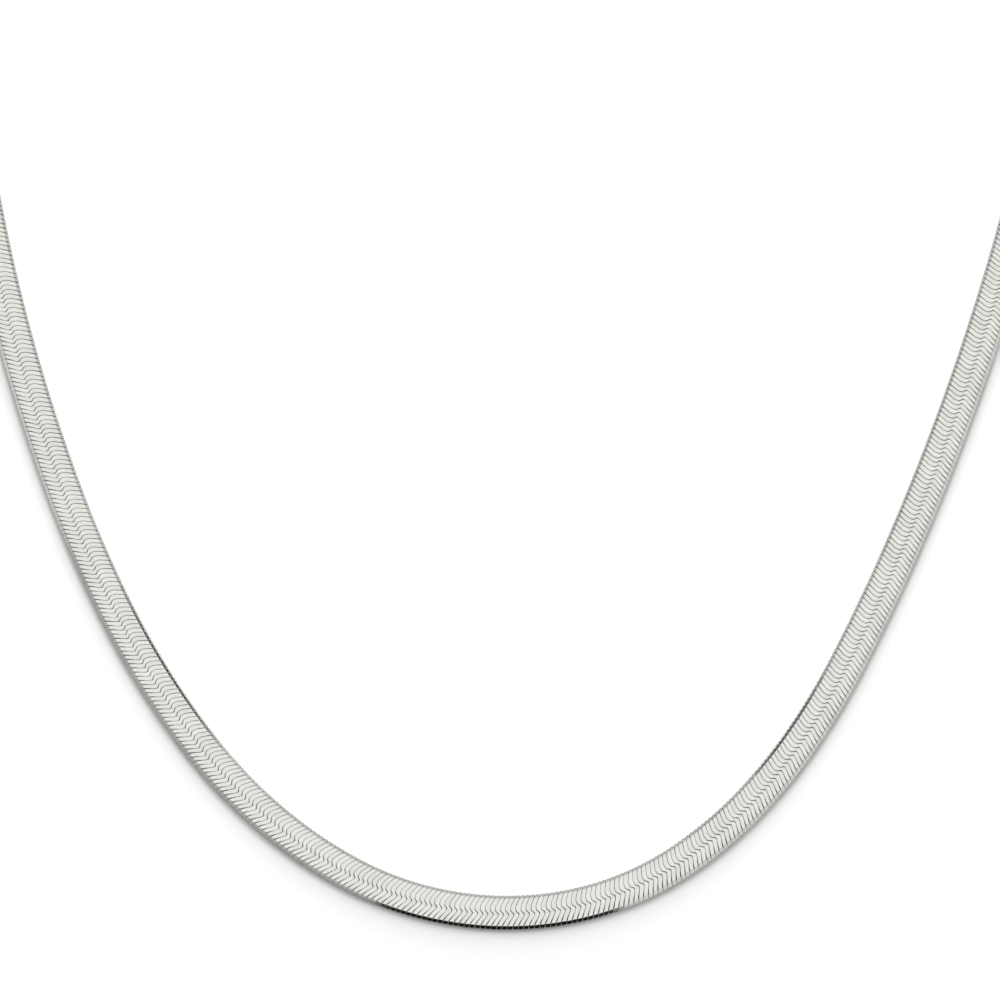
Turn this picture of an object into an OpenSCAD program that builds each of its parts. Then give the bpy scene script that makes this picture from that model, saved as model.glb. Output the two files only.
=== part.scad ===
// Herringbone chain with a lobster clasp, lying flat and closed.
// The low point of the front curve faces -Y, the clasp is at the back, and the underside rests on Z = 0.

/* [Chain] */
// Length of the whole closed loop, measured along the middle of the band
chain_length = 457; // [445:1:480]
// Length of the front curve on each side of its lowest point
front_run = 110; // [104:1:114]
// Width of the woven band
band_w = 3.9; // [3:0.1:5]
// Thickness of the woven band
band_t = 0.8; // [0.75:0.05:1.2]
// Radius of the band's rounded edges
edge_r = 0.35; // [0.1:0.05:0.35]
// Radius of the two bends that carry the band round the back of the neck
back_r = 46; // [42:1:48]

/* [End caps] */
// Clearance between the band and its socket
socket_gap = 0.08; // [0.05:0.01:0.12]
// Wall of a cap round its socket
cap_wall = 0.32; // [0.25:0.01:0.4]
// Length of the band that a cap holds
socket_depth = 4; // [3:0.5:6]
// Length of a cap's solid nose
nose_len = 2.2; // [1.6:0.1:3]
// Width of the nose where the eye is soldered on
nose_w = 1.6; // [1.2:0.1:2]
// Radius of a cap's long edges
cap_edge_r = 0.4; // [0.2:0.05:0.5]

/* [Eyes and jump ring] */
// Wire of the closed eyes on the caps and the clasp
eye_wire = 0.55; // [0.5:0.05:0.7]
// Wire of the jump ring
ring_wire = 0.6; // [0.4:0.05:0.7]
// Radius of the hole in the jump ring
ring_hole_r = 1.3; // [1.2:0.05:1.8]
// Play under the jump ring where it lies in an eye
ring_play = 0.12; // [0.1:0.01:0.2]

/* [Clasp] */
// Wire of the claw
claw_wire = 1; // [0.9:0.05:1.2]
// Play all round the claw in the eye that it holds
claw_play = 0.25; // [0.15:0.05:0.35]
// Half of the width of the claw's opening
claw_hole_r = 1.25; // [1.1:0.05:1.6]
// Straight length of the claw's opening
claw_len = 4; // [3.5:0.5:6]
// Length of the clasp's closed body
clasp_body_len = 3.6; // [3:0.2:5]
// Width of the body where it meets its eye
clasp_tail_w = 1.8; // [1.4:0.1:2.4]

/* [Hidden] */
$fn = 48;

// The front curve from its lowest point up each side.
// Columns: share of front_run, angle that the stretch turns through.
right_curve = [[0.18, 35], [0.10, 14], [0.08, 8], [0.09, 7], [0.15, 4], [0.40, 8]];
left_curve = [[0.17, 31], [0.10, 12.5], [0.10, 11], [0.16, 10], [0.14, 6], [0.33, 9]];
// The longest turn and the longest run between two rings of the band
ring_turn = 4;
ring_run = 9;
// The length over which the band climbs from the floor into a cap
climb_len = 10;
// The straight band in front of a cap's mouth
mouth_run = 0.5;
// Points on each rounded edge of the band, less one
edge_steps = 2;
silver = [0.85, 0.84, 0.82];

eye_hole_r = claw_wire / 2 + claw_play;
eye_r = eye_hole_r + eye_wire / 2;
eye_z = eye_hole_r + eye_wire;
ring_r = ring_hole_r + ring_wire / 2;
ring_z = eye_wire + ring_play + ring_wire / 2;
claw_r = claw_hole_r + claw_wire / 2;
clasp_body_w = 2 * claw_r + claw_wire;
clasp_body_h = 2 * eye_z;
socket_w = band_w + 2 * socket_gap;
socket_h = band_t + 2 * socket_gap;
cap_w = socket_w + 2 * cap_wall;
cap_h = socket_h + 2 * cap_wall;
cap_len = nose_len + socket_depth;
band_lift = cap_wall + socket_gap;

// The closure lies along the straight back, with the band's two ends at the same distance from its middle
end_to_eye = socket_gap + nose_len + eye_hole_r;
eye_to_eye = claw_r + claw_len + clasp_body_len + eye_hole_r + 2 * ring_r;
band_end_x = eye_to_eye / 2 + end_to_eye;
right_eye_x = band_end_x - end_to_eye;
left_eye_x = -right_eye_x;
claw_tip_x = right_eye_x - claw_r;
body_front_x = claw_tip_x - claw_len;
body_back_x = body_front_x - clasp_body_len;
tail_eye_x = body_back_x - eye_hole_r;
ring_x = left_eye_x + ring_r;

// A curve's stretches with their lengths in millimetres
function stretches_of(curve) = [for (row = curve) [row[0] * front_run, row[1]]];
right_stretches = stretches_of(right_curve);
left_stretches = stretches_of(left_curve);

function arc_len(r, turn) = r * turn * PI / 180;
function sum(v, i = 0) = i == len(v) ? 0 : v[i] + sum(v, i + 1);
function column(table, c) = [for (row = table) row[c]];

// The point that a stretch reaches from p, heading h, after a length and a turn
function reach(p, h, length, turn) =
  let (half = turn / 2, chord = turn == 0 ? length : length * sin(half) / (half * PI / 180))
  p + chord * [cos(h + half), sin(h + half)];

// The place and heading at the start of each stretch and at the end of the last
function starts(stretches, i = 0, p = [0, 0], h = 0) =
  i == len(stretches)
    ? [[p, h]]
    : concat(
        [[p, h]],
        starts(
          stretches, i + 1,
          reach(p, h, stretches[i][0], stretches[i][1]),
          h + stretches[i][1]
        )
      );

// The back is a line, a bend of back_r and the straight back, on each side of the front curve.
// Each side grows in proportion to the depth of the loop, so the depth follows from the chain's length.
function front_end(stretches) = starts(stretches)[len(stretches)];
function slope(h) = (1 + cos(h)) / sin(h);
function side_base(stretches) =
  let (end = front_end(stretches), p = end[0], h = end[1])
  sum(column(stretches, 0)) + arc_len(back_r, 180 - h) + p[0] - back_r * sin(h)
    - slope(h) * (p[1] + back_r * (1 + cos(h)));
back_y =
  (chain_length - side_base(right_stretches) - side_base(left_stretches))
    / (slope(front_end(right_stretches)[1]) + slope(front_end(left_stretches)[1]));

function arm_len(stretches) =
  let (end = front_end(stretches), p = end[0], h = end[1])
  (back_y - p[1] - back_r * (1 + cos(h))) / sin(h);
function back_half(stretches) =
  let (end = front_end(stretches), p = end[0], h = end[1])
  p[0] + arm_len(stretches) * cos(h) - back_r * sin(h);
held_run = socket_depth + mouth_run;
function side(stretches) =
  let (h = front_end(stretches)[1])
  concat(
    stretches,
    [
      [arm_len(stretches), 0],
      [arc_len(back_r, 180 - h), 180 - h],
      [back_half(stretches) - band_end_x - held_run, 0],
      [held_run, 0]
    ]
  );
function reach_out(stretches) = back_half(stretches) + back_r + band_w / 2;

// The middle of the object's box is brought to the origin
shift_x = (reach_out(left_stretches) - reach_out(right_stretches)) / 2;
shift_y = -(back_y + max(cap_w, clasp_body_w) / 2 - band_w / 2) / 2;

// How far the band is above the floor at a distance from its end
function climb(from_end) =
  let (f = min(1, max(0, (held_run + climb_len - from_end) / climb_len)))
  band_lift * f * f * (3 - 2 * f);

function ring_count(stretch) = max(ceil(stretch[1] / ring_turn), ceil(stretch[0] / ring_run));

// Rings along one side as [x, y, lift, heading]
function side_rings(stretches) =
  let (
    all = side(stretches),
    places = starts(all),
    total = sum(column(all, 0)),
    last = len(all)
  )
  concat(
    [
      for (i = [0 : last - 1])
        let (
          before = sum([for (k = [0 : 1 : i - 1]) all[k][0]]),
          count = ring_count(all[i])
        )
        for (j = [0 : count - 1])
          let (f = j / count, p = reach(places[i][0], places[i][1], all[i][0] * f, all[i][1] * f))
          [p[0], p[1], climb(total - before - all[i][0] * f), places[i][1] + all[i][1] * f]
    ],
    [[places[last][0][0], places[last][0][1], climb(0), places[last][1]]]
  );

// The band's section as [across, up], with its four edges rounded
function band_section() = [
  for (corner = [[1, 0, -90], [1, 1, 0], [-1, 1, 90], [-1, 0, 180]])
    for (k = [0 : edge_steps])
      let (a = corner[2] + 90 * k / edge_steps)
      [
        corner[0] * (band_w / 2 - edge_r) + edge_r * cos(a),
        (corner[1] == 0 ? edge_r : band_t - edge_r) + edge_r * sin(a)
      ]
];

// A closed solid through rings of the section, from the left end round the front to the right end
module swept_band() {
  right = side_rings(right_stretches);
  left = side_rings(left_stretches);
  rings = concat(
    [for (i = [len(left) - 1 : -1 : 1]) [-left[i][0], left[i][1], left[i][2], -left[i][3]]],
    right
  );
  section = band_section();
  n = len(section);
  last = len(rings) - 1;
  points = [
    for (r = rings)
      for (s = section)
        [r[0] + s[0] * sin(r[3]), r[1] - s[0] * cos(r[3]), r[2] + s[1]]
  ];
  walls = [
    for (i = [0 : last - 1])
      for (k = [0 : n - 1])
        let (next = (k + 1) % n)
        [i * n + k, i * n + next, (i + 1) * n + next, (i + 1) * n + k]
  ];
  start_face = [for (k = [n - 1 : -1 : 0]) k];
  end_face = [for (k = [0 : n - 1]) last * n + k];
  polyhedron(points = points, faces = concat(walls, [start_face, end_face]), convexity = 10);
}

// A closed eye that stands on the floor, with its hole across the chain
module eye() {
  translate([0, 0, eye_z])
    rotate([90, 0, 0])
      rotate_extrude()
        translate([eye_r, 0])
          circle(d = eye_wire);
}

module rounded_rectangle(w, h, r) {
  translate([-w / 2 + r, 0])
    square([w - 2 * r, h]);
  translate([-w / 2, r])
    square([w, h - 2 * r]);
  for (x = [-1, 1], y = [0, 1])
    translate([x * (w / 2 - r), y == 0 ? r : h - r])
      circle(r);
}

// A bar along +X with the section of its child, whose Y is up
module along_x(length) {
  rotate([90, 0, 90])
    linear_extrude(length)
      children();
}

// A cap that opens towards +X, with the front of its nose at X = 0 and its eye in front of that
module end_cap() {
  difference() {
    intersection() {
      along_x(cap_len)
        rounded_rectangle(cap_w, cap_h, cap_edge_r);
      linear_extrude(cap_h)
        polygon([
          [0, -nose_w / 2], [nose_len / 2, -(nose_w + 2 * cap_w) / 6], [nose_len, -cap_w / 2],
          [cap_len, -cap_w / 2], [cap_len, cap_w / 2],
          [nose_len, cap_w / 2], [nose_len / 2, (nose_w + 2 * cap_w) / 6], [0, nose_w / 2]
        ]);
    }
    translate([nose_len, -socket_w / 2, cap_wall])
      cube([socket_depth + 1, socket_w, socket_h]);
  }
  translate([-eye_hole_r, 0, 0])
    eye();
}

// The claw's wire runs round the front of the opening, and a closed body joins its two ends to an eye
module clasp_shape() {
  translate([claw_tip_x, 0, eye_z])
    rotate([0, 0, -90])
      rotate_extrude(angle = 180)
        translate([claw_r, 0])
          circle(d = claw_wire);
  for (y = [-1, 1])
    translate([body_front_x - claw_wire / 2, y * claw_r, eye_z])
      rotate([0, 90, 0])
        cylinder(d = claw_wire, h = claw_len + claw_wire / 2);
  intersection() {
    translate([body_back_x, 0, 0])
      along_x(clasp_body_len)
        rounded_rectangle(clasp_body_w, clasp_body_h, clasp_body_h / 2.5);
    linear_extrude(clasp_body_h)
      polygon([
        [body_front_x, -clasp_body_w / 2], [body_front_x - clasp_body_len / 2, -clasp_body_w / 2],
        [body_back_x, -clasp_tail_w / 2], [body_back_x, clasp_tail_w / 2],
        [body_front_x - clasp_body_len / 2, clasp_body_w / 2], [body_front_x, clasp_body_w / 2]
      ]);
  }
  translate([tail_eye_x, 0, 0])
    eye();
}

module herringbone_band() {
  color(silver)
    translate([shift_x, shift_y, 0])
      swept_band();
}

module end_cap_left() {
  color(silver)
    translate([shift_x + left_eye_x - eye_hole_r, shift_y + back_y, 0])
      mirror([1, 0, 0])
        end_cap();
}

module end_cap_right() {
  color(silver)
    translate([shift_x + right_eye_x + eye_hole_r, shift_y + back_y, 0])
      end_cap();
}

module jump_ring() {
  color(silver)
    translate([shift_x + ring_x, shift_y + back_y, ring_z])
      rotate_extrude()
        translate([ring_r, 0])
          circle(d = ring_wire);
}

module lobster_clasp() {
  color(silver)
    translate([shift_x, shift_y + back_y, 0])
      clasp_shape();
}

herringbone_band();
end_cap_left();
end_cap_right();
jump_ring();
lobster_clasp();
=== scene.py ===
"""A flat herringbone chain: its woven links, the finish of its fittings, and a plain studio round it."""

import math

import bpy
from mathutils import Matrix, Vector


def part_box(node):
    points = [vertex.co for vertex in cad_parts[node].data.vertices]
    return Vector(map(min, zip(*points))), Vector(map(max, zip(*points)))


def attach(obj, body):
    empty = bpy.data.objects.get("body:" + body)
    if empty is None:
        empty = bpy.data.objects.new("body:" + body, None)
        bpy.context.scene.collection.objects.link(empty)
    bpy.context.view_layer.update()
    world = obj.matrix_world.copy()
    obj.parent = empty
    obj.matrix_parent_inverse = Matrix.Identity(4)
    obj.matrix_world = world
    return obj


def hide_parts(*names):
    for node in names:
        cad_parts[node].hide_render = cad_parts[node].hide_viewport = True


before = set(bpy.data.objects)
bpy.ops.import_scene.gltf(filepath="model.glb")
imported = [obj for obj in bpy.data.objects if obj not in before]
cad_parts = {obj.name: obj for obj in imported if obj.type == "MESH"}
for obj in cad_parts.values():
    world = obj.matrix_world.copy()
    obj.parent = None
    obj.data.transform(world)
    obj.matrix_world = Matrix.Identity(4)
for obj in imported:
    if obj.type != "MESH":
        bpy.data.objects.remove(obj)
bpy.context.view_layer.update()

bl_info = {
    "name": "Herringbone chain",
    "version": (1, 0, 0),
    "blender": (4, 5, 0),
    "location": "View3D > Sidebar > Chain",
    "description": "Weaves the band of a herringbone chain and sets its studio",
    "category": "Object",
}

BODY = "root"
BAND_NODE = "herringbone_band"
FITTING_NODES = ("end_cap_left", "end_cap_right", "jump_ring", "lobster_clasp")
MM = 0.001

# The front curve from its lowest point up each side, as shares of the front run and turns in degrees
RIGHT_CURVE = ((0.18, 35), (0.10, 14), (0.08, 8), (0.09, 7), (0.15, 4), (0.40, 8))
LEFT_CURVE = ((0.17, 31), (0.10, 12.5), (0.10, 11), (0.16, 10), (0.14, 6), (0.33, 9))

# The band is straight over its last stretch and climbs into the caps just before it
BAND_END_X = 9.68 * MM
HELD_RUN = 4.5 * MM
CLIMB_LEN = 10 * MM
BAND_LIFT = 0.4 * MM
# The longest step between two points of the route
ROUTE_STEP = 0.5 * MM
# The first and last links stand this many pitches inside the band's ends
END_PITCHES = 1.7
# How far the route may stray from the construction's band
ROUTE_SLIP = 0.1 * MM

# Stations round a link, from the band's edge over the top and back underneath.
# Columns: across as a share of the band's width from its inner edge, height as a share of its thickness,
# lean along the band in pitches, width as a share of a slat, the wire's thickness as a share of the band's,
# and each soft edge as a share of half the width.
INNER_LINK = (
    (0.000, 0.758, 1.00, 0.86, 0.24, 0.24),
    (0.045, 0.885, 0.94, 0.89, 0.24, 0.20),
    (0.110, 1.00, 0.79, 0.95, 0.24, 0.14),
    (0.200, 1.00, 0.49, 0.98, 0.24, 0.15),
    (0.300, 1.00, 0.15, 1.00, 0.24, 0.14),
    (0.365, 1.00, 0.01, 1.00, 0.24, 0.12),
    (0.440, 1.00, -0.01, 1.00, 0.24, 0.12),
    (0.485, 1.00, 0.04, 0.985, 0.22, 0.18),
    (0.515, 1.00, 0.19, 0.955, 0.20, 0.24),
    (0.543, 1.00, 0.46, 0.935, 0.18, 0.24),
    (0.572, 0.995, 0.585, 0.925, 0.14, 0.24),
    (0.620, 0.60, 0.72, 0.85, 0.12, 0.40),
    (0.460, 0.00, 0.45, 1.00, 0.20, 0.30),
    (0.075, 0.00, 0.88, 0.97, 0.24, 0.30),
    (0.008, 0.36, 0.99, 0.92, 0.24, 0.40),
)
OUTER_LINK = (
    (0.556, 0.985, 0.55, 0.90, 0.05, 0.20),
    (0.574, 1.00, 0.59, 0.96, 0.10, 0.16),
    (0.620, 1.00, 0.58, 1.00, 0.16, 0.12),
    (0.660, 1.00, 0.455, 1.00, 0.20, 0.09),
    (0.700, 1.00, 0.28, 1.00, 0.22, 0.10),
    (0.760, 1.00, 0.01, 1.00, 0.24, 0.14),
    (0.840, 1.00, -0.33, 0.99, 0.24, 0.26),
    (0.903, 1.00, -0.56, 0.98, 0.24, 0.26),
    (0.930, 0.941, -0.63, 1.00, 0.24, 0.05),
    (1.000, 0.575, -0.78, 1.00, 0.24, 0.05),
    (0.996, 0.30, -0.77, 0.92, 0.24, 0.40),
    (0.905, 0.00, -0.58, 0.98, 0.24, 0.30),
    (0.700, 0.00, 0.15, 1.00, 0.22, 0.30),
    (0.600, 0.02, 0.50, 0.90, 0.12, 0.40),
)
# Where a link's top bends sharply, by place across: facets of the inner edge, tips, facets of the outer edge
CREASES = (0.0, 0.045, 0.11, 0.572, 0.903, 0.93, 1.0)


class ChainSizes(bpy.types.PropertyGroup):
    """Sizes of the chain. They follow the construction's own."""

    chain_length: bpy.props.FloatProperty(
        name="Chain length", description="Length of the whole closed loop",
        default=0.457, min=0.4, max=0.5, unit="LENGTH", subtype="DISTANCE",
    )
    front_run: bpy.props.FloatProperty(
        name="Front run", description="Length of the front curve on each side of its lowest point",
        default=0.110, min=0.1, max=0.12, unit="LENGTH", subtype="DISTANCE",
    )
    back_radius: bpy.props.FloatProperty(
        name="Back radius", description="Radius of the two bends round the back of the neck",
        default=0.046, min=0.04, max=0.05, unit="LENGTH", subtype="DISTANCE",
    )
    band_width: bpy.props.FloatProperty(
        name="Band width", description="Width of the woven band",
        default=0.0039, min=0.003, max=0.005, unit="LENGTH", subtype="DISTANCE",
    )
    band_thickness: bpy.props.FloatProperty(
        name="Band thickness", description="Thickness of the woven band",
        default=0.0008, min=0.0006, max=0.0012, unit="LENGTH", subtype="DISTANCE",
    )
    pitch: bpy.props.FloatProperty(
        name="Pitch", description="Length of the band that each link takes",
        default=0.00056, min=0.0004, max=0.0008, unit="LENGTH", subtype="DISTANCE",
    )
    gap: bpy.props.FloatProperty(
        name="Gap", description="Clearance between two links on a straight stretch",
        default=0.000014, min=0.00001, max=0.0001, unit="LENGTH", subtype="DISTANCE",
    )
    slack: bpy.props.FloatProperty(
        name="Slack", description="How much narrower than its place a link may be, as a share of its width",
        default=0.03, min=0.0, max=0.1, subtype="FACTOR",
    )
    play: bpy.props.FloatProperty(
        name="Play", description="How far a link turns out of line at random",
        default=math.radians(0.3), min=0.0, max=math.radians(3), subtype="ANGLE",
    )


class SilverFinish(bpy.types.PropertyGroup):
    """Colours and polish of the silver."""

    face: bpy.props.FloatVectorProperty(
        name="Face", description="Colour of the burnished faces of the links",
        default=(0.775, 0.765, 0.735), min=0.0, max=1.0, subtype="COLOR", size=3,
    )
    # Painted shade with a little patina: this dark colour is laid into the hollows between the links
    crevice: bpy.props.FloatVectorProperty(
        name="Crevice", description="Colour of the silver down between the links",
        default=(0.26, 0.255, 0.245), min=0.0, max=1.0, subtype="COLOR", size=3,
    )
    fitting: bpy.props.FloatVectorProperty(
        name="Fittings", description="Colour of the caps, the ring and the clasp",
        default=(0.82, 0.81, 0.785), min=0.0, max=1.0, subtype="COLOR", size=3,
    )
    polish: bpy.props.FloatProperty(
        name="Polish", description="Roughness of the faces, from 0 for a mirror",
        default=0.10, min=0.0, max=1.0, subtype="FACTOR",
    )


class StudioSetup(bpy.types.PropertyGroup):
    """Camera, floor and light."""

    camera_height: bpy.props.FloatProperty(
        name="Camera height", description="Angle of the camera above the floor",
        default=math.radians(67), min=math.radians(20), max=math.radians(90), subtype="ANGLE",
    )
    camera_distance: bpy.props.FloatProperty(
        name="Camera distance", description="Distance from the camera to the middle of its view",
        default=2.0, min=0.3, max=5.0, unit="LENGTH", subtype="DISTANCE",
    )
    frame_width: bpy.props.FloatProperty(
        name="Frame width", description="Width of the view at the middle of the frame",
        default=0.110, min=0.05, max=0.3, unit="LENGTH", subtype="DISTANCE",
    )
    view_middle: bpy.props.FloatVectorProperty(
        name="View middle", description="Point on the floor that the camera looks at",
        default=(-0.00095, -0.03114, 0.0), unit="LENGTH", subtype="TRANSLATION", size=3,
    )
    sky: bpy.props.FloatProperty(
        name="Tent", description="Brightness of the light tent",
        default=1.0, min=0.0, max=5.0,
    )
    lamps: bpy.props.FloatProperty(
        name="Lamps", description="Brightness of the soft lamps that light the floor",
        default=1.0, min=0.0, max=10.0,
    )
    floor_shade: bpy.props.FloatVectorProperty(
        name="Floor", description="Colour of the floor",
        default=(0.65, 0.65, 0.65), min=0.0, max=1.0, subtype="COLOR", size=3,
    )


def chord(length, turn):
    """The straight distance between the ends of a stretch."""
    half = turn / 2
    return length if turn == 0 else length * math.sin(half) / half


def reach(place, heading, length, turn):
    """The point that a stretch reaches after a length and a turn, in radians."""
    run = chord(length, turn)
    angle = heading + turn / 2
    return place[0] + run * math.cos(angle), place[1] + run * math.sin(angle)


def front_end(stretches):
    """The place and heading where a side's front curve ends."""
    place, heading = (0.0, 0.0), 0.0
    for length, turn in stretches:
        place = reach(place, heading, length, turn)
        heading += turn
    return place, heading


def slope(heading):
    """How much longer one side gets for each length that the back moves away."""
    return (1 + math.cos(heading)) / math.sin(heading)


def side_base(stretches, radius):
    """The length of one side if the back were level with the lowest point."""
    (x, y), h = front_end(stretches)
    run = sum(length for length, _ in stretches)
    bend = radius * (math.pi - h)
    depth = y + radius * (1 + math.cos(h))
    return run + bend + x - radius * math.sin(h) - slope(h) * depth


def loop_route(sizes):
    """Each side's stretches from the lowest point to the band's end, and the loop's shift and depth."""
    curves = [
        [(share * sizes.front_run, math.radians(turn)) for share, turn in curve]
        for curve in (LEFT_CURVE, RIGHT_CURVE)
    ]
    radius = sizes.back_radius
    bases = sum(side_base(curve, radius) for curve in curves)
    slopes = sum(slope(front_end(curve)[1]) for curve in curves)
    back_y = (sizes.chain_length - bases) / slopes
    sides, halves = [], []
    for curve in curves:
        (x, y), h = front_end(curve)
        arm = (back_y - y - radius * (1 + math.cos(h))) / math.sin(h)
        half = x + arm * math.cos(h) - radius * math.sin(h)
        bend = (radius * (math.pi - h), math.pi - h)
        sides.append(curve + [(arm, 0.0), bend, (half - BAND_END_X, 0.0)])
        halves.append(half)
    return sides, (halves[0] - halves[1]) / 2, back_y


def climb(from_end):
    """How far the band is above the floor at a distance from its end."""
    share = (HELD_RUN + CLIMB_LEN - from_end) / CLIMB_LEN
    share = min(1.0, max(0.0, share))
    return BAND_LIFT * share * share * (3 - 2 * share)


def side_points(stretches, skip_end):
    """Points (x, y, z) along one side, from the lowest point to just before the band's end."""
    total = sum(length for length, _ in stretches)
    points, place, heading, before = [], (0.0, 0.0), 0.0, 0.0
    for length, turn in stretches:
        count = max(2, math.ceil(length / ROUTE_STEP))
        for step in range(count):
            run = length * step / count
            if before + run < total - skip_end:
                x, y = reach(place, heading, run, turn * step / count)
                points.append((x, y, climb(total - before - run)))
        place = reach(place, heading, length, turn)
        heading += turn
        before += length
    points.append((place[0] + skip_end, place[1], climb(skip_end)))
    return points


def route_curve(sizes):
    """A hidden poly curve along the middle of the band's underside, from its left end to its right end."""
    (left, right), shift_x, back_y = loop_route(sizes)
    low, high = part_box(BAND_NODE)
    shift_y = low.y + sizes.band_width / 2
    skip_end = END_PITCHES * sizes.pitch
    left_points = [(-x, y, z) for x, y, z in side_points(left, skip_end)]
    points = left_points[:0:-1] + side_points(right, skip_end)
    points = [(x + shift_x, y + shift_y, z) for x, y, z in points]
    widest = max(x for x, _, _ in points) + sizes.band_width / 2
    deepest = max(y for _, y, _ in points) + sizes.band_width / 2
    if abs(widest - high.x) > ROUTE_SLIP or abs(deepest - high.y) > ROUTE_SLIP:
        raise RuntimeError("the links' route doesn't lie along the construction's band")
    data = bpy.data.curves.new("band_route", "CURVE")
    data.dimensions = "3D"
    spline = data.splines.new("POLY")
    spline.points.add(len(points) - 1)
    for point, place in zip(spline.points, points):
        point.co = (*place, 1.0)
    length = sum(math.dist(a, b) for a, b in zip(points, points[1:]))
    return data, length


# The drop of the section's soft edge as a share of that edge, and the most it may be of the wire's thickness
EDGE_DROP = 0.7
DEEPEST_DROP = 0.5
# The inside of the wire leans on the next link: its reach ahead and behind, as shares of half the width
AHEAD_REACH = 1.18
BEHIND_REACH = 0.72
# How far each point of the section lies down between the links, from 0 on the flat to 1 on the inside
SECTION_DEPTH = (0.6, 0.0, 0.0, 0.6, 1.0, 1.0)
# The section's points at the edges of its flat
FLAT_EDGES = (1, 2)


def section(width, wire, rounding):
    """The wire's section as (along the band, out of the surface): a flat with soft edges."""
    half = width / 2
    edge = half * rounding
    drop = min(EDGE_DROP * edge, DEEPEST_DROP * wire)
    return (
        (-half, -drop), (edge - half, 0.0), (half - edge, 0.0), (half, -drop),
        (half * AHEAD_REACH, -wire), (-half * BEHIND_REACH, -wire),
    )


def link_mesh(name, stations, closed, sizes):
    """One link as a flattened wire loop round the given stations."""
    width, thick, pitch = sizes.band_width, sizes.band_thickness, sizes.pitch
    slat = pitch - sizes.gap
    path = [Vector((0.0, width * (0.5 - across), thick * height)) for across, height, *_ in stations]
    count = len(path)
    verts, across_values, depth_values = [], [], []
    for i, (_, _, lean, share, wire, rounding) in enumerate(stations):
        ahead = path[(i + 1) % count] if closed or i + 1 < count else path[i]
        behind = path[i - 1] if closed or i > 0 else path[i]
        run = (ahead - behind).normalized()
        out = Vector((0.0, run.z, -run.y))
        centre = path[i] + Vector((lean * pitch, 0.0, 0.0))
        for (x, up), depth in zip(section(slat * share, thick * wire, rounding), SECTION_DEPTH):
            point = centre + Vector((x, 0.0, 0.0)) + out * up
            verts.append(point)
            across_values.append(point.y)
            depth_values.append(depth)
    ring = len(SECTION_DEPTH)
    faces = []
    for i in range(count if closed else count - 1):
        a, b = i * ring, ((i + 1) % count) * ring
        for j in range(ring):
            k = (j + 1) % ring
            faces.append((a + j, b + j, b + k, a + k))
    if not closed:
        faces.append(tuple(range(ring)))
        faces.append(tuple((count - 1) * ring + j for j in reversed(range(ring))))
    mesh = bpy.data.meshes.new(name)
    mesh.from_pydata(verts, [], faces)
    mesh.validate()
    for polygon in mesh.polygons:
        polygon.use_smooth = True
    creases = {i for i, station in enumerate(stations) if station[0] in CREASES}
    for edge in mesh.edges:
        places = {vertex // ring for vertex in edge.vertices}
        corners = {vertex % ring for vertex in edge.vertices}
        along_flat = len(corners) == 1 and corners <= set(FLAT_EDGES)
        edge.use_edge_sharp = along_flat or (len(places) == 1 and places <= creases)
    along_values = [point.x for point in verts]
    for label, values in (("across", across_values), ("depth", depth_values), ("along", along_values)):
        attribute = mesh.attributes.new(label, "FLOAT", "POINT")
        attribute.data.foreach_set("value", values)
    return mesh


def add_node(tree, kind, place, **settings):
    """A node with its settings and the values of its inputs by name."""
    node = tree.nodes.new(kind)
    node.location = (place[0] * 200, place[1] * -160)
    inputs = settings.pop("inputs", {})
    for key, value in settings.items():
        setattr(node, key, value)
    for key, value in inputs.items():
        socket = node.inputs[key]
        if isinstance(value, bpy.types.NodeSocket):
            tree.links.new(value, socket)
        else:
            socket.default_value = value
    return node


# The inputs of the row's tree: name and kind of socket
ROW_INPUTS = (
    ("Route", "NodeSocketGeometry"),
    ("Link", "NodeSocketObject"),
    ("Links", "NodeSocketInt"),
    ("Slack", "NodeSocketFloat"),
    ("Play", "NodeSocketFloat"),
    ("Seed", "NodeSocketInt"),
    ("Silver", "NodeSocketMaterial"),
)


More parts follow.
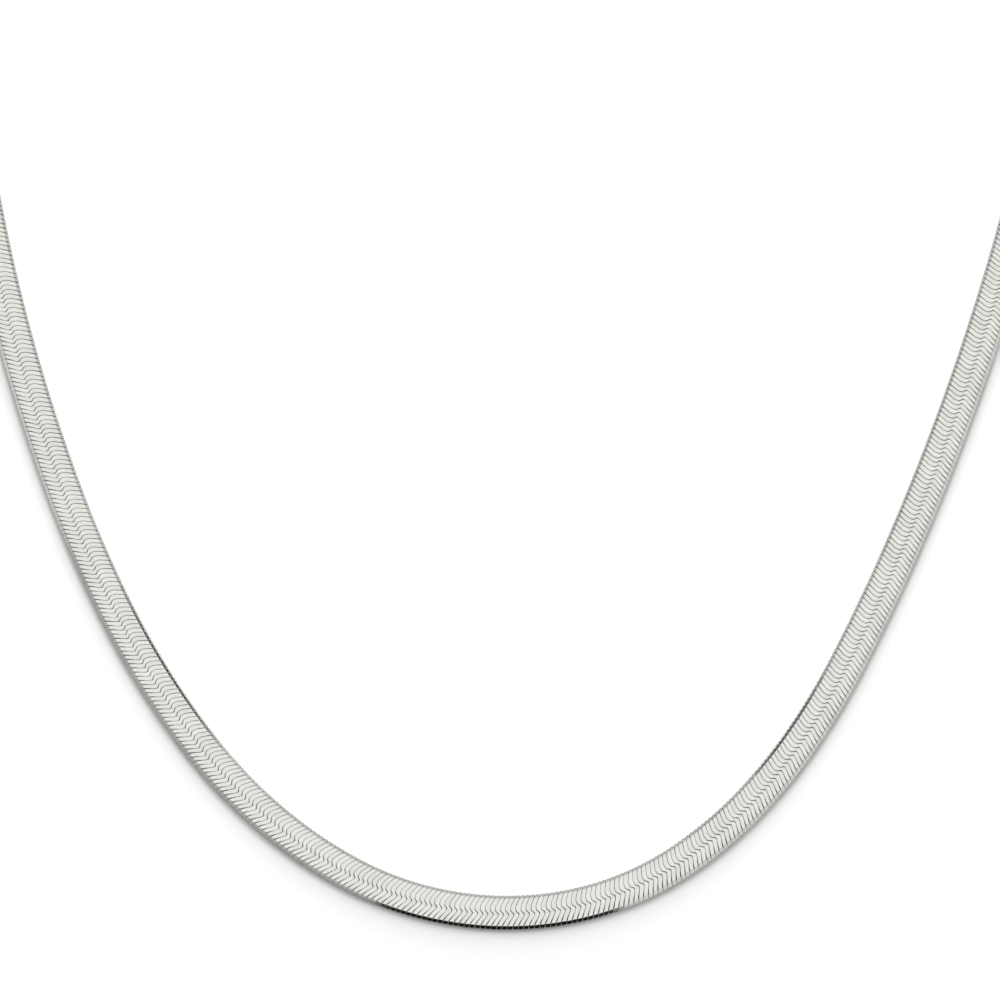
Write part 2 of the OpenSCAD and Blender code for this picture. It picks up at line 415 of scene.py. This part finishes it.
def row_tree():
    """Geometry nodes that lay one link after another along a route."""
    tree = bpy.data.node_groups.new("row_of_links", "GeometryNodeTree")
    for name, kind in ROW_INPUTS:
        tree.interface.new_socket(name, in_out="INPUT", socket_type=kind)
    tree.interface.new_socket("Row", in_out="OUTPUT", socket_type="NodeSocketGeometry")
    given = add_node(tree, "NodeGroupInput", (0, 0)).outputs
    spaced = add_node(
        tree, "GeometryNodeResampleCurve", (1, 0), mode="COUNT",
        inputs={"Curve": given["Route"], "Count": given["Links"]},
    )
    tangent = add_node(tree, "GeometryNodeInputTangent", (0, 2))
    turned = add_node(
        tree, "FunctionNodeAlignRotationToVector", (1, 2), axis="X", pivot_axis="Z",
        inputs={"Vector": tangent.outputs["Tangent"]},
    )
    least = add_node(
        tree, "ShaderNodeMath", (1, 3), operation="MULTIPLY",
        inputs={0: given["Play"], 1: -1.0},
    )
    roll = add_node(
        tree, "FunctionNodeRandomValue", (2, 3), data_type="FLOAT",
        inputs={2: least.outputs[0], 3: given["Play"], "Seed": given["Seed"]},
    )
    roll_angles = add_node(
        tree, "ShaderNodeCombineXYZ", (3, 3),
        inputs={"X": roll.outputs[1], "Y": roll.outputs[1]},
    )
    roll_turn = add_node(tree, "FunctionNodeEulerToRotation", (4, 3), inputs={0: roll_angles.outputs[0]})
    rotation = add_node(
        tree, "FunctionNodeRotateRotation", (5, 2), rotation_space="LOCAL",
        inputs={"Rotation": turned.outputs[0], "Rotate By": roll_turn.outputs[0]},
    )
    link = add_node(
        tree, "GeometryNodeObjectInfo", (1, 1), transform_space="ORIGINAL",
        inputs={"Object": given["Link"]},
    )
    narrowest = add_node(
        tree, "ShaderNodeMath", (1, 5), operation="SUBTRACT",
        inputs={0: 1.0, 1: given["Slack"]},
    )
    breadth = add_node(
        tree, "FunctionNodeRandomValue", (2, 5), data_type="FLOAT",
        inputs={2: narrowest.outputs[0], 3: 1.0, "Seed": given["Seed"]},
    )
    scale = add_node(
        tree, "ShaderNodeCombineXYZ", (3, 5),
        inputs={"X": breadth.outputs[1], "Y": 1.0, "Z": 1.0},
    )
    placed = add_node(
        tree, "GeometryNodeInstanceOnPoints", (6, 0),
        inputs={
            "Points": spaced.outputs[0], "Instance": link.outputs["Geometry"],
            "Rotation": rotation.outputs[0], "Scale": scale.outputs[0],
        },
    )
    order = add_node(tree, "GeometryNodeInputIndex", (5, 4))
    numbered = add_node(
        tree, "GeometryNodeStoreNamedAttribute", (7, 0), data_type="FLOAT", domain="INSTANCE",
        inputs={"Geometry": placed.outputs[0], "Name": "number", "Value": order.outputs[0]},
    )
    tone = add_node(
        tree, "FunctionNodeRandomValue", (6, 4), data_type="FLOAT",
        inputs={2: 0.0, 3: 1.0, "Seed": given["Seed"]},
    )
    toned = add_node(
        tree, "GeometryNodeStoreNamedAttribute", (8, 0), data_type="FLOAT", domain="INSTANCE",
        inputs={"Geometry": numbered.outputs[0], "Name": "tone", "Value": tone.outputs[1]},
    )
    real = add_node(tree, "GeometryNodeRealizeInstances", (9, 0), inputs={"Geometry": toned.outputs[0]})
    coated = add_node(
        tree, "GeometryNodeSetMaterial", (10, 0),
        inputs={"Geometry": real.outputs[0], "Material": given["Silver"]},
    )
    add_node(tree, "NodeGroupOutput", (11, 0), inputs={"Row": coated.outputs[0]})
    return tree


def set_inputs(modifier, tree, values):
    """Sets a modifier's inputs through the identifiers of its tree's sockets."""
    for item in tree.interface.items_tree:
        if item.item_type == "SOCKET" and item.in_out == "INPUT" and item.name in values:
            modifier[item.identifier] = values[item.name]


def baked_copy(source, name):
    """A plain mesh object of what an object's modifiers make."""
    bpy.context.view_layer.update()
    evaluated = source.evaluated_get(bpy.context.evaluated_depsgraph_get())
    mesh = bpy.data.meshes.new_from_object(evaluated)
    mesh.name = name
    piece = bpy.data.objects.new(name, mesh)
    bpy.context.scene.collection.objects.link(piece)
    return piece


def map_range(tree, place, value, given, made, **settings):
    """A node that turns one range of values into another."""
    return add_node(
        tree, "ShaderNodeMapRange", place, **settings,
        inputs={
            "Value": value, "From Min": given[0], "From Max": given[1],
            "To Min": made[0], "To Max": made[1],
        },
    )


def stretched(tree, place, value, waves):
    """A node that stretches a place by a number of waves to a metre on each axis."""
    return add_node(tree, "ShaderNodeVectorMath", place, operation="MULTIPLY", inputs={0: value, 1: waves})


def shaded(tree, place, colour, shade):
    """A node that multiplies a colour by a shade."""
    return add_node(
        tree, "ShaderNodeMix", place, data_type="RGBA", blend_type="MULTIPLY",
        inputs={0: 1.0, 6: (*colour, 1.0), 7: shade},
    )


def new_material(name):
    """A new material, its tree of nodes and its shader."""
    material = bpy.data.materials.new(name)
    material.use_nodes = True
    return material, material.node_tree, material.node_tree.nodes["Principled BSDF"]


# Waves to a metre of each pattern: along and across the band for the links, by axis for the fittings' marks
STREAK_WAVES = (400.0, 22000.0, 1.0)
CLOUD_WAVES = (260.0, 900.0, 1.0)
MARK_WAVES = (900.0, 7000.0, 7000.0)
FITTING_CLOUD_WAVES = 700.0
PAPER_WAVES = 3000.0
# Depth of the wire marks and of the polishing marks
STREAK_HEIGHT = 0.000003
MARK_HEIGHT = 0.000004
# Lightest and darkest tone of the links, of the fittings and of the paper, as shares of their colour
LINK_SHADES = (0.955, 1.03)
FITTING_SHADES = (0.93, 1.02)
PAPER_SHADES = (0.985, 1.0)
# Least and greatest roughness of the links, as shares of their polish, and of the fittings
LINK_ROUGHNESS = (0.8, 1.4)
FITTING_ROUGHNESS = (0.07, 0.2)
# The values that each noise mostly keeps to: wire marks, clouds with the links' tones, and the fittings'
STREAK_RANGE = (0.35, 0.65)
CLOUD_RANGE = (0.4, 1.1)
FITTING_RANGE = (0.3, 0.7)
# How much a link's own tone counts beside the clouds
TONE_SHARE = 0.5
# Where the painted shade, with a little patina, begins between the links, as a share of their depth
CREVICE_SHADE_DEPTH = 0.25
# How far a painted shade reaches onto the links from the band's edges, and its amount there
EDGE_SHADE_REACH = 0.2 * MM
EDGE_SHADE_AMOUNT = 0.3


def band_silver(finish, sizes):
    """Flattened, burnished links: fine wire marks, a slight change from link to link, painted shade in the
    crevices and along the edges.
    """
    material, tree, shader = new_material("band_silver")
    link = {
        name: add_node(tree, "ShaderNodeAttribute", (-9, row), attribute_name=name).outputs["Fac"]
        for row, name in enumerate(("along", "across", "number", "tone", "depth"))
    }
    run = add_node(
        tree, "ShaderNodeMath", (-8, 0), operation="MULTIPLY_ADD",
        inputs={0: link["number"], 1: sizes.pitch, 2: link["along"]},
    )
    place = add_node(
        tree, "ShaderNodeCombineXYZ", (-7, 0),
        inputs={"X": run.outputs[0], "Y": link["across"]},
    )
    streak_place = stretched(tree, (-6, 0), place.outputs[0], STREAK_WAVES)
    streaks = add_node(
        tree, "ShaderNodeTexNoise", (-5, 0),
        inputs={"Vector": streak_place.outputs[0], "Scale": 1.0, "Detail": 3.0, "Roughness": 0.6},
    )
    cloud_place = stretched(tree, (-6, 1), place.outputs[0], CLOUD_WAVES)
    clouds = add_node(
        tree, "ShaderNodeTexNoise", (-5, 1),
        inputs={"Vector": cloud_place.outputs[0], "Scale": 1.0, "Detail": 2.0, "Roughness": 0.5},
    )
    changed = add_node(
        tree, "ShaderNodeMath", (-4, 1), operation="MULTIPLY_ADD",
        inputs={0: link["tone"], 1: TONE_SHARE, 2: clouds.outputs["Fac"]},
    )
    shade = map_range(tree, (-3, 1), changed.outputs[0], CLOUD_RANGE, LINK_SHADES)
    face = shaded(tree, (-2, 1), finish.face, shade.outputs[0])
    # Painted shade with a little patina: the links darken towards the crevice colour down between them
    crevices = map_range(tree, (-3, 3), link["depth"], (CREVICE_SHADE_DEPTH, 1.0), (0.0, 1.0))
    from_middle = add_node(
        tree, "ShaderNodeMath", (-4, 4), operation="ABSOLUTE",
        inputs={0: link["across"]},
    )
    # Painted shade along the band's edges, where the links meet the floor
    half = sizes.band_width / 2
    border = (half - EDGE_SHADE_REACH, half)
    edges = map_range(tree, (-3, 4), from_middle.outputs[0], border, (0.0, EDGE_SHADE_AMOUNT))
    painted_shade = add_node(
        tree, "ShaderNodeMath", (-2, 3), operation="MAXIMUM",
        inputs={0: crevices.outputs[0], 1: edges.outputs[0]},
    )
    colour = add_node(
        tree, "ShaderNodeMix", (-1, 1), data_type="RGBA",
        inputs={0: painted_shade.outputs[0], 6: face.outputs[2], 7: (*finish.crevice, 1.0)},
    )
    roughness = [finish.polish * share for share in LINK_ROUGHNESS]
    rough = map_range(tree, (-2, 2), streaks.outputs["Fac"], STREAK_RANGE, roughness)
    bump = add_node(
        tree, "ShaderNodeBump", (-2, 4),
        inputs={"Height": streaks.outputs["Fac"], "Strength": 0.25, "Distance": STREAK_HEIGHT},
    )
    shader.inputs["Metallic"].default_value = 1.0
    tree.links.new(colour.outputs[2], shader.inputs["Base Color"])
    tree.links.new(rough.outputs[0], shader.inputs["Roughness"])
    tree.links.new(bump.outputs[0], shader.inputs["Normal"])
    return material


def fitting_silver(finish):
    """Polished castings and wire: fine polishing marks and soft clouds of tone."""
    material, tree, shader = new_material("fitting_silver")
    place = add_node(tree, "ShaderNodeTexCoord", (-6, 0))
    marks_place = stretched(tree, (-5, 0), place.outputs["Object"], MARK_WAVES)
    marks = add_node(
        tree, "ShaderNodeTexNoise", (-4, 0),
        inputs={"Vector": marks_place.outputs[0], "Scale": 1.0, "Detail": 4.0, "Roughness": 0.6},
    )
    clouds = add_node(
        tree, "ShaderNodeTexNoise", (-4, 1),
        inputs={"Vector": place.outputs["Object"], "Scale": FITTING_CLOUD_WAVES, "Detail": 2.0},
    )
    shade = map_range(tree, (-3, 1), clouds.outputs["Fac"], FITTING_RANGE, FITTING_SHADES)
    colour = shaded(tree, (-2, 1), finish.fitting, shade.outputs[0])
    rough = map_range(tree, (-2, 2), marks.outputs["Fac"], FITTING_RANGE, FITTING_ROUGHNESS)
    bump = add_node(
        tree, "ShaderNodeBump", (-2, 3),
        inputs={"Height": marks.outputs["Fac"], "Strength": 0.3, "Distance": MARK_HEIGHT},
    )
    shader.inputs["Metallic"].default_value = 1.0
    tree.links.new(colour.outputs[2], shader.inputs["Base Color"])
    tree.links.new(rough.outputs[0], shader.inputs["Roughness"])
    tree.links.new(bump.outputs[0], shader.inputs["Normal"])
    return material


def floor_paper(studio):
    """Plain pale paper with a faint tooth."""
    material, tree, shader = new_material("floor_paper")
    place = add_node(tree, "ShaderNodeTexCoord", (-5, 0))
    tooth = add_node(
        tree, "ShaderNodeTexNoise", (-4, 0),
        inputs={"Vector": place.outputs["Object"], "Scale": PAPER_WAVES, "Detail": 3.0},
    )
    shade = map_range(tree, (-3, 0), tooth.outputs["Fac"], (0.0, 1.0), PAPER_SHADES)
    colour = shaded(tree, (-2, 0), studio.floor_shade, shade.outputs[0])
    shader.inputs["Roughness"].default_value = 0.9
    shader.inputs["Specular IOR Level"].default_value = 0.1
    tree.links.new(colour.outputs[2], shader.inputs["Base Color"])
    return material


# The two rows: name, the link's stations, whether the link is a closed loop, seed
ROWS = (
    ("band_inner_row", INNER_LINK, True, 5),
    ("band_outer_row", OUTER_LINK, False, 11),
)


class CHAIN_OT_weave_band(bpy.types.Operator):
    """Lays the inner and the outer row of links along the band"""

    bl_idname = "chain.weave_band"
    bl_label = "Weave the band"

    def execute(self, context):
        sizes, finish = context.scene.chain_sizes, context.scene.silver_finish
        silver = band_silver(finish, sizes)
        data, length = route_curve(sizes)
        route = bpy.data.objects.new("band_route", data)
        context.scene.collection.objects.link(route)
        tree = row_tree()
        links = round(length / sizes.pitch) + 1
        for name, stations, closed, seed in ROWS:
            mesh = link_mesh(name + "_link", stations, closed, sizes)
            link = bpy.data.objects.new(name + "_link", mesh)
            context.scene.collection.objects.link(link)
            modifier = route.modifiers.new("row", "NODES")
            modifier.node_group = tree
            values = {
                "Link": link, "Links": links, "Slack": sizes.slack, "Play": sizes.play,
                "Seed": seed, "Silver": silver,
            }
            set_inputs(modifier, tree, values)
            row = baked_copy(route, name)
            route.modifiers.remove(modifier)
            bpy.data.objects.remove(link)
            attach(row, BODY)
            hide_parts(BAND_NODE)
        bpy.data.objects.remove(route)
        return {"FINISHED"}


class CHAIN_OT_finish_fittings(bpy.types.Operator):
    """Gives the caps, the ring and the clasp their polished silver"""

    bl_idname = "chain.finish_fittings"
    bl_label = "Finish the fittings"

    def execute(self, context):
        silver = fitting_silver(context.scene.silver_finish)
        for name in FITTING_NODES:
            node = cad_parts[name]
            for material_slot in node.material_slots:
                material_slot.material = silver
        return {"FINISHED"}


# Dark and grey cards in the tent: side, bearings, heights and soft edge in degrees, and depth of the shade.
# A card for one side hangs at its bearings, and a card for both also at the same bearings on the left.
DARK_PATCHES = (
    ("one", (-190, -149), (-10, 25), 1, 1.0),
    ("one", (150.5, 190), (-10, 25), 1, 1.0),
    ("both", (140, 190), (35, 50), 3, 0.6),
    ("one", (-147, -91), (-10, 26), 2, 0.4),
    ("one", (-91, -57), (-10, 26), 2, 0.1),
    ("one", (-147, -57), (28, 58), 2, 0.5),
    ("one", (57, 147), (28, 58), 2, 0.4),
    ("one", (-24, 27), (-5, 45), 2, 0.25),
    ("one", (-41, -24), (-5, 45), 2, 0.3),
    ("both", (41, 60), (30, 45), 2, 0.3),
    ("one", (32.5, 37.5), (30, 43), 2, 1.0),
    ("one", (-35, -30.5), (31, 39), 1.5, 1.0),
)
CARD_BLACK = (0.004, 0.004, 0.004, 1.0)
# The tent's brightness by the sine of the height, and its tint
TENT_SHADES = ((0.0, 0.85), (0.35, 0.8), (0.85, 0.98), (0.93, 1.02), (1.0, 1.25))
TENT_TINT = (1.0, 0.998, 0.99)
# Soft lamps, four over the middle of the loop and four round it: name, place, radius, strength
LAMPS = (
    ("lamp_high", (0.0, 0.0, 0.110), 0.040, 1.2),
    ("lamp_middle", (0.0, 0.0, 0.055), 0.020, 1.3),
    ("lamp_low", (0.0, 0.0, 0.026), 0.010, 1.9),
    ("lamp_floor", (0.0, 0.0, 0.011), 0.005, 4.5),
    ("lamp_front", (0.0, -0.38, 0.30), 0.100, 0.35),
    ("lamp_back", (0.0, 0.38, 0.30), 0.100, 0.40),
    ("lamp_left", (-0.38, 0.0, 0.30), 0.100, 0.61),
    ("lamp_right", (0.38, 0.0, 0.30), 0.100, 0.61),
)


def between(tree, value, low, high, soft, row):
    """A node that gives 1 between two angles in degrees and falls to 0 over a soft edge."""
    rising = (math.radians(low - soft), math.radians(low))
    falling = (math.radians(high), math.radians(high + soft))
    rise = map_range(tree, (-5, row), value, rising, (0.0, 1.0), interpolation_type="SMOOTHSTEP")
    fall = map_range(tree, (-5, row + 1), value, falling, (1.0, 0.0), interpolation_type="SMOOTHSTEP")
    return add_node(
        tree, "ShaderNodeMath", (-4, row), operation="MULTIPLY",
        inputs={0: rise.outputs[0], 1: fall.outputs[0]},
    )


def tent_world(studio):
    """A light tent, bright overhead and dimmer to the horizon, with cards that the links' edges mirror."""
    world = bpy.data.worlds.new("light_tent")
    bpy.context.scene.world = world
    world.use_nodes = True
    tree = world.node_tree
    shader = tree.nodes["Background"]
    place = add_node(tree, "ShaderNodeTexCoord", (-9, 0))
    axes = add_node(tree, "ShaderNodeSeparateXYZ", (-8, 0), inputs={0: place.outputs["Generated"]})
    height = add_node(tree, "ShaderNodeMath", (-7, 0), operation="ARCSINE", inputs={0: axes.outputs["Z"]})
    # The bearing is 0 at the back, grows to the right and is half a turn towards the camera
    bearing = add_node(
        tree, "ShaderNodeMath", (-7, 1), operation="ARCTAN2",
        inputs={0: axes.outputs["X"], 1: axes.outputs["Y"]},
    )
    offset = add_node(tree, "ShaderNodeMath", (-7, 2), operation="ABSOLUTE", inputs={0: bearing.outputs[0]})
    dark = None
    for row, (about, bearings, heights, soft, depth) in enumerate(DARK_PATCHES):
        turn = offset if about == "both" else bearing
        up = between(tree, height.outputs[0], *heights, soft, 4 * row + 4)
        round_about = between(tree, turn.outputs[0], *bearings, soft, 4 * row + 6)
        inside = add_node(
            tree, "ShaderNodeMath", (-3, 4 * row + 4), operation="MULTIPLY",
            inputs={0: up.outputs[0], 1: round_about.outputs[0]},
        )
        dark = add_node(
            tree, "ShaderNodeMath", (-2, 4 * row + 4), operation="MULTIPLY_ADD", use_clamp=True,
            inputs={0: inside.outputs[0], 1: depth, 2: dark.outputs[0] if dark else 0.0},
        )
    light = add_node(tree, "ShaderNodeValToRGB", (-5, 0), inputs={0: axes.outputs["Z"]})
    ramp = light.color_ramp
    while len(ramp.elements) < len(TENT_SHADES):
        ramp.elements.new(0.5)
    for element, (position, value) in zip(ramp.elements, TENT_SHADES):
        element.position = position
        element.color = (*(value * part for part in TENT_TINT), 1.0)
    mixed = add_node(
        tree, "ShaderNodeMix", (-1, 0), data_type="RGBA",
        inputs={0: dark.outputs[0], 6: light.outputs[0], 7: CARD_BLACK},
    )
    tree.links.new(mixed.outputs[2], shader.inputs["Color"])
    shader.inputs["Strength"].default_value = studio.sky


def soft_lamp(name, place, radius, brightness):
    """A round lamp that lights the floor alone and fades with distance no more than its angle makes it."""
    data = bpy.data.lights.new(name, "POINT")
    data.shadow_soft_size = radius
    data.use_nodes = True
    tree = data.node_tree
    glow = tree.nodes["Emission"]
    even = add_node(tree, "ShaderNodeLightFalloff", (-2, 0), inputs={"Strength": brightness})
    tree.links.new(even.outputs["Constant"], glow.inputs["Strength"])
    lamp = bpy.data.objects.new(name, data)
    lamp.location = place
    lamp.visible_camera = False
    lamp.visible_glossy = False
    bpy.context.scene.collection.objects.link(lamp)


SENSOR_WIDTH = 36.0
NEAREST_SEEN = 10 * MM
# Half the floor's width, and its place just under the links, so that the two never share a plane
FLOOR_REACH = 1.5
FLOOR_HEIGHT = -0.01 * MM


def place_camera(studio):
    """The camera, in front of the middle of its view and above it."""
    data = bpy.data.cameras.new("camera")
    camera = bpy.data.objects.new("camera", data)
    bpy.context.scene.collection.objects.link(camera)
    bpy.context.scene.camera = camera
    rise, distance = studio.camera_height, studio.camera_distance
    back = Vector((0.0, -math.cos(rise), math.sin(rise)))
    camera.location = Vector(studio.view_middle) + distance * back
    camera.rotation_euler = (math.pi / 2 - rise, 0.0, 0.0)
    data.sensor_width = SENSOR_WIDTH
    data.lens = SENSOR_WIDTH * distance / studio.frame_width
    data.clip_start = NEAREST_SEEN


def lay_floor(studio):
    """The pale paper under the chain."""
    signs = ((-1, -1), (1, -1), (1, 1), (-1, 1))
    corners = [(FLOOR_REACH * x, FLOOR_REACH * y, FLOOR_HEIGHT) for x, y in signs]
    mesh = bpy.data.meshes.new("floor")
    mesh.from_pydata(corners, [], [(0, 1, 2, 3)])
    mesh.materials.append(floor_paper(studio))
    floor = bpy.data.objects.new("floor", mesh)
    bpy.context.scene.collection.objects.link(floor)


class CHAIN_OT_set_stage(bpy.types.Operator):
    """Sets the camera, the pale floor and the soft light"""

    bl_idname = "chain.set_stage"
    bl_label = "Set the stage"

    def execute(self, context):
        studio = context.scene.studio_setup
        context.scene.view_settings.view_transform = "Standard"
        place_camera(studio)
        lay_floor(studio)
        tent_world(studio)
        for name, place, radius, strength in LAMPS:
            soft_lamp(name, place, radius, studio.lamps * strength)
        return {"FINISHED"}


class CHAIN_PT_panel(bpy.types.Panel):
    """Sizes, finish and studio of the chain"""

    bl_idname = "CHAIN_PT_panel"
    bl_label = "Herringbone chain"
    bl_space_type = "VIEW_3D"
    bl_region_type = "UI"
    bl_category = "Chain"

    def draw(self, context):
        layout = self.layout
        for group in (context.scene.chain_sizes, context.scene.silver_finish, context.scene.studio_setup):
            box = layout.box()
            for name in group.__annotations__:
                box.prop(group, name)
        for operator in OPERATORS:
            layout.operator(operator.bl_idname)


OPERATORS = (CHAIN_OT_set_stage, CHAIN_OT_weave_band, CHAIN_OT_finish_fittings)
CLASSES = (ChainSizes, SilverFinish, StudioSetup, *OPERATORS, CHAIN_PT_panel)


def register():
    """Registers the classes and gives the scene its settings."""
    for cls in CLASSES:
        bpy.utils.register_class(cls)
    bpy.types.Scene.chain_sizes = bpy.props.PointerProperty(type=ChainSizes)
    bpy.types.Scene.silver_finish = bpy.props.PointerProperty(type=SilverFinish)
    bpy.types.Scene.studio_setup = bpy.props.PointerProperty(type=StudioSetup)


def unregister():
    """Takes the settings and the classes away again."""
    del bpy.types.Scene.studio_setup
    del bpy.types.Scene.silver_finish
    del bpy.types.Scene.chain_sizes
    for cls in reversed(CLASSES):
        bpy.utils.unregister_class(cls)


def main():
    """Builds the stage and the chain."""
    register()
    bpy.ops.chain.set_stage()
    bpy.ops.chain.weave_band()
    bpy.ops.chain.finish_fittings()


if __name__ == "__main__":
    main()
